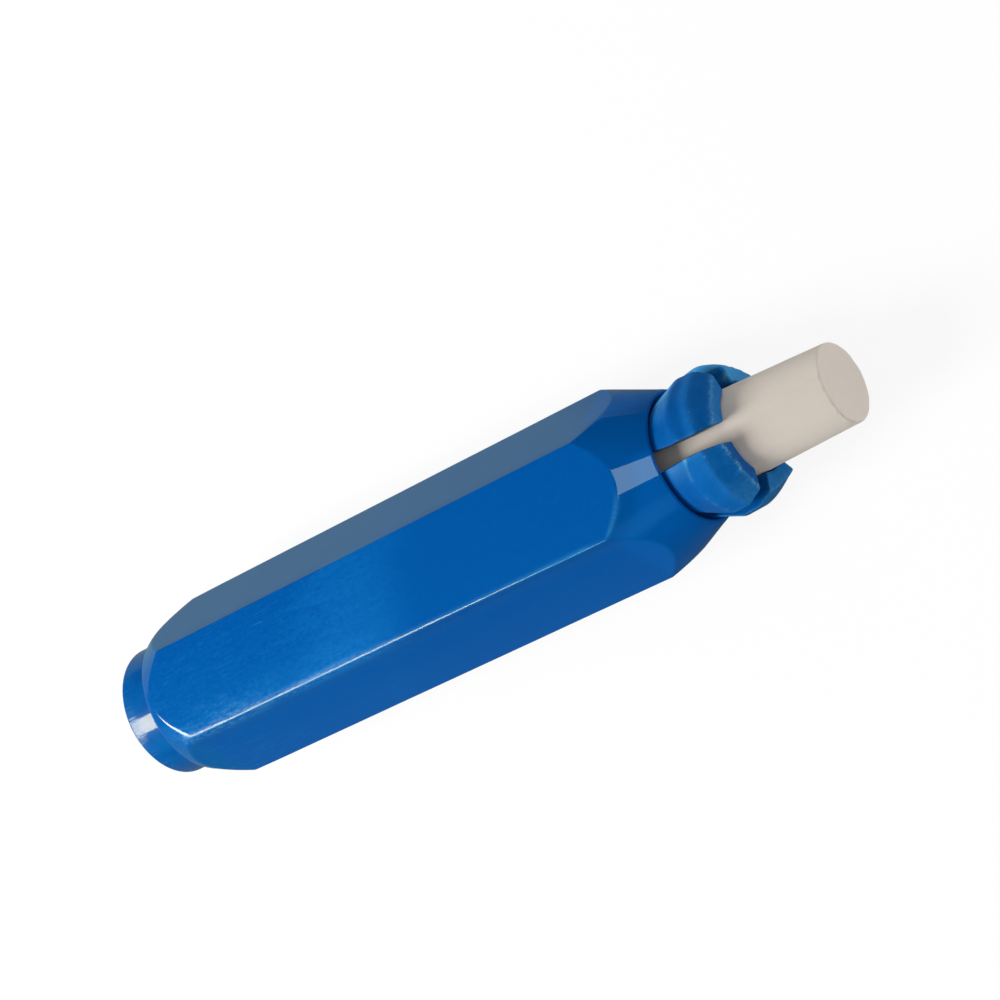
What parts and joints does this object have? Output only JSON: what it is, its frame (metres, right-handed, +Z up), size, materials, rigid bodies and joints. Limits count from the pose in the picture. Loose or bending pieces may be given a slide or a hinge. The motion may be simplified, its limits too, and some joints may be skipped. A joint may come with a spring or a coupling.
{
  "type": "chalk holder",
  "caption": "Push-button chalk holder: six-sided plastic barrel with tapered ends, a split collet that grips a stick of chalk, and a sprung rear button.",
  "frame": {"origin": "centre of the flat the barrel lies on, 37.5 mm behind the mouth and 34.9 mm ahead of the rear rim", "axes": "+X along the holder towards the chalk, +Z up from the resting flat; the centre line is at z = 9 mm"},
  "size_m": [0.0961, 0.0206, 0.018],
  "materials": {
    "barrel": "gloss",
    "collet": "satin",
    "button": "gloss",
    "spring": "satin",
    "chalk": "matte"
  },
  "bodies": {
    "barrel": {"barrel": "barrel"},
    "spring": {"spring": "spring"},
    "collet": {"collet_sleeve": "collet", "push_button": "button"},
    "jaw_1": {"jaw_1": "collet"},
    "jaw_2": {"jaw_2": "collet"},
    "jaw_3": {"jaw_3": "collet"},
    "jaw_4": {"jaw_4": "collet"},
    "jaw_5": {"jaw_5": "collet"},
    "chalk": {"chalk_stick": "chalk"}
  },
  "joints": [
    {"name": "collet_spin", "type": "hinge", "parent": "barrel", "child": "spring", "pos_m": [0, 0, 0.009], "axis": [1, 0, 0], "continuous": true},
    {"name": "button_press", "type": "slide", "parent": "spring", "child": "collet", "axis": [1, 0, 0], "range_m": [0, 0.0045], "stiffness_N_per_m": 200, "springref_m": -0.015, "deforming": ["spring"]},
    {"name": "chalk_feed", "type": "slide", "parent": "collet", "child": "chalk", "axis": [1, 0, 0], "range_m": [-0.01, 0.07]},
    {"name": "jaw_1_flex", "type": "hinge", "parent": "collet", "child": "jaw_1", "pos_m": [0.012, 0.00359, 0.01394], "axis": [0, -0.809, 0.5878], "range_deg": [0, 1.4]},
    {"name": "jaw_2_flex", "type": "hinge", "parent": "collet", "child": "jaw_2", "pos_m": [0.012, 0.0058, 0.00711], "axis": [0, 0.309, 0.9511], "range_deg": [0, 1.4]},
    {"name": "jaw_3_flex", "type": "hinge", "parent": "collet", "child": "jaw_3", "pos_m": [0.012, 0, 0.0029], "axis": [0, 1, 0], "range_deg": [0, 1.4]},
    {"name": "jaw_4_flex", "type": "hinge", "parent": "collet", "child": "jaw_4", "pos_m": [0.012, -0.0058, 0.00711], "axis": [0, 0.309, -0.9511], "range_deg": [0, 1.4]},
    {"name": "jaw_5_flex", "type": "hinge", "parent": "collet", "child": "jaw_5", "pos_m": [0.012, -0.00359, 0.01394], "axis": [0, -0.809, -0.5878], "range_deg": [0, 1.4]}
  ],
  "couplings": [
    {"joint": "jaw_1_flex", "follows": "button_press", "rad_per_m": 5.429},
    {"joint": "jaw_2_flex", "follows": "button_press", "rad_per_m": 5.429},
    {"joint": "jaw_3_flex", "follows": "button_press", "rad_per_m": 5.429},
    {"joint": "jaw_4_flex", "follows": "button_press", "rad_per_m": 5.429},
    {"joint": "jaw_5_flex", "follows": "button_press", "rad_per_m": 5.429}
  ]
}
